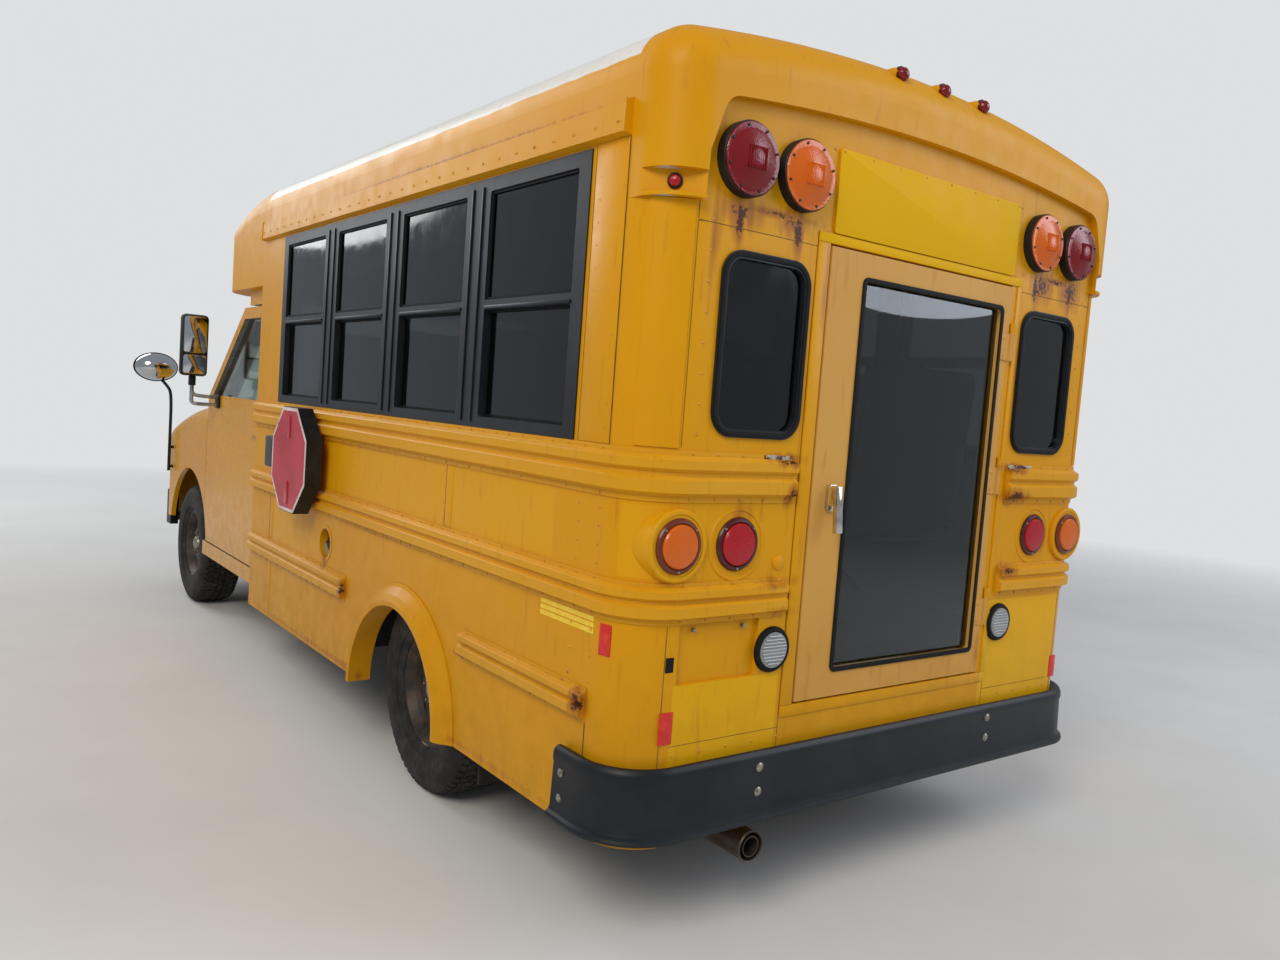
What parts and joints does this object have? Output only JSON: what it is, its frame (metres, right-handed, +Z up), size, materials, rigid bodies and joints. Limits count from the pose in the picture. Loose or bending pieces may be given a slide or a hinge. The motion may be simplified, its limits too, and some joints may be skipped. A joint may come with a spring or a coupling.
{
  "type": "short school bus",
  "caption": "Short cutaway school bus with rounded roof caps, split side windows, rub rails, folding stop arm, rear emergency door and two-leaf entrance.",
  "frame": {"origin": "on the ground at the middle of the bus's length and width", "axes": "+Z up, +Y towards the rear, +X towards the bus's left"},
  "size_m": [2.5299, 5.75, 2.5319],
  "materials": {
    "bus_yellow": "gloss",
    "door_yellow": "satin",
    "roof_white": "gloss",
    "cap_yellow": "gloss",
    "chassis_black": "satin",
    "bumper_black": "satin",
    "engine_iron": "rough",
    "tyre_rubber": "rough",
    "rim_black": "satin",
    "glass_tint": "gloss",
    "frame_black": "satin",
    "trim_black": "matte",
    "flap_rubber": "matte",
    "lamp_red": "gloss",
    "lamp_clear": "gloss",
    "sign_red": "satin",
    "steel_bare": "satin",
    "seat_vinyl": "satin",
    "floor_rubber": "matte",
    "grille_grey": "satin"
  },
  "bodies": {
    "bus": {"chassis_frame": "chassis_black", "engine_block": "engine_iron", "rear_axle": "chassis_black", "front_suspension": "chassis_black", "floor": "floor_rubber", "left_wall": "bus_yellow", "left_skirt": "bus_yellow", "filler_pocket": "bus_yellow", "right_wall": "bus_yellow", "entrance_frame": "bus_yellow", "rear_wall": "bus_yellow", "roof": "roof_white", "rear_cap": "cap_yellow", "front_cap": "cap_yellow", "front_fenders": "bus_yellow", "cab_frame": "bus_yellow", "windshield": "glass_tint", "grille": "grille_grey", "headlamps": "lamp_clear", "front_bumper": "bumper_black", "rear_bumper": "bumper_black", "rub_rails": "bus_yellow", "wheel_flares": "bus_yellow", "window_frames": "frame_black", "window_glass": "glass_tint", "mirrors": "trim_black", "stop_arm_mount": "steel_bare", "warning_lamps": "lamp_red", "tail_lamps": "lamp_red", "mud_flaps": "flap_rubber", "fuel_tank": "chassis_black", "exhaust": "steel_bare", "dashboard": "trim_black", "seats": "seat_vinyl"},
    "hood": {"hood": "bus_yellow"},
    "emergency_door": {"emergency_door": "door_yellow", "emergency_door_glass": "glass_tint"},
    "entrance_front": {"entrance_front_leaf": "frame_black", "entrance_front_glass": "glass_tint"},
    "entrance_rear": {"entrance_rear_leaf": "frame_black", "entrance_rear_glass": "glass_tint"},
    "driver_door": {"driver_door": "bus_yellow", "driver_door_glass": "glass_tint", "driver_mirror": "trim_black"},
    "stop_arm": {"stop_arm": "sign_red"},
    "left_knuckle": {"left_knuckle": "steel_bare"},
    "right_knuckle": {"right_knuckle": "steel_bare"},
    "front_left_wheel": {"front_left_tyre": "tyre_rubber", "front_left_rim": "rim_black"},
    "front_right_wheel": {"front_right_tyre": "tyre_rubber", "front_right_rim": "rim_black"},
    "rear_left_wheel": {"rear_left_tyre": "tyre_rubber", "rear_left_rim": "rim_black"},
    "rear_right_wheel": {"rear_right_tyre": "tyre_rubber", "rear_right_rim": "rim_black"}
  },
  "joints": [
    {"name": "steer_left", "type": "hinge", "parent": "bus", "child": "left_knuckle", "pos_m": [0.79, -2.026, 0.375], "axis": [0, 0, 1], "range_deg": [-30, 30]},
    {"name": "steer_right", "type": "hinge", "parent": "bus", "child": "right_knuckle", "pos_m": [-0.79, -2.026, 0.375], "axis": [0, 0, 1], "range_deg": [-30, 30]},
    {"name": "front_left_spin", "type": "hinge", "parent": "left_knuckle", "child": "front_left_wheel", "pos_m": [0.866, -2.026, 0.375], "axis": [1, 0, 0], "continuous": true},
    {"name": "front_right_spin", "type": "hinge", "parent": "right_knuckle", "child": "front_right_wheel", "pos_m": [-0.866, -2.026, 0.375], "axis": [1, 0, 0], "continuous": true},
    {"name": "rear_left_spin", "type": "hinge", "parent": "bus", "child": "rear_left_wheel", "pos_m": [0.866, 1.505, 0.375], "axis": [1, 0, 0], "continuous": true},
    {"name": "rear_right_spin", "type": "hinge", "parent": "bus", "child": "rear_right_wheel", "pos_m": [-0.866, 1.505, 0.375], "axis": [1, 0, 0], "continuous": true},
    {"name": "driver_door_hinge", "type": "hinge", "parent": "bus", "child": "driver_door", "pos_m": [1, -1.612, 1], "axis": [0, 0, -1], "range_deg": [0, 65]},
    {"name": "entrance_front_hinge", "type": "hinge", "parent": "bus", "child": "entrance_front", "pos_m": [-1.06, -1.193, 1.15], "axis": [0, 0, 1], "range_deg": [0, 95]},
    {"name": "entrance_rear_hinge", "type": "hinge", "parent": "bus", "child": "entrance_rear", "pos_m": [-1.06, -0.517, 1.15], "axis": [0, 0, -1], "range_deg": [0, 95]},
    {"name": "emergency_door_hinge", "type": "hinge", "parent": "bus", "child": "emergency_door", "pos_m": [-0.4545, 2.825, 1.3], "axis": [0, 0, 1], "range_deg": [0, 110]},
    {"name": "hood_hinge", "type": "hinge", "parent": "bus", "child": "hood", "pos_m": [0, -1.84, 1.257], "axis": [-1, 0, 0], "range_deg": [0, 50]},
    {"name": "stop_arm_hinge", "type": "hinge", "parent": "bus", "child": "stop_arm", "pos_m": [1.105, 0.15, 1.12], "axis": [0, 0, -1], "range_deg": [0, 90]}
  ],
  "couplings": [
    {"joint": "steer_right", "follows": "steer_left", "ratio": 1},
    {"joint": "entrance_rear_hinge", "follows": "entrance_front_hinge", "ratio": 1}
  ]
}
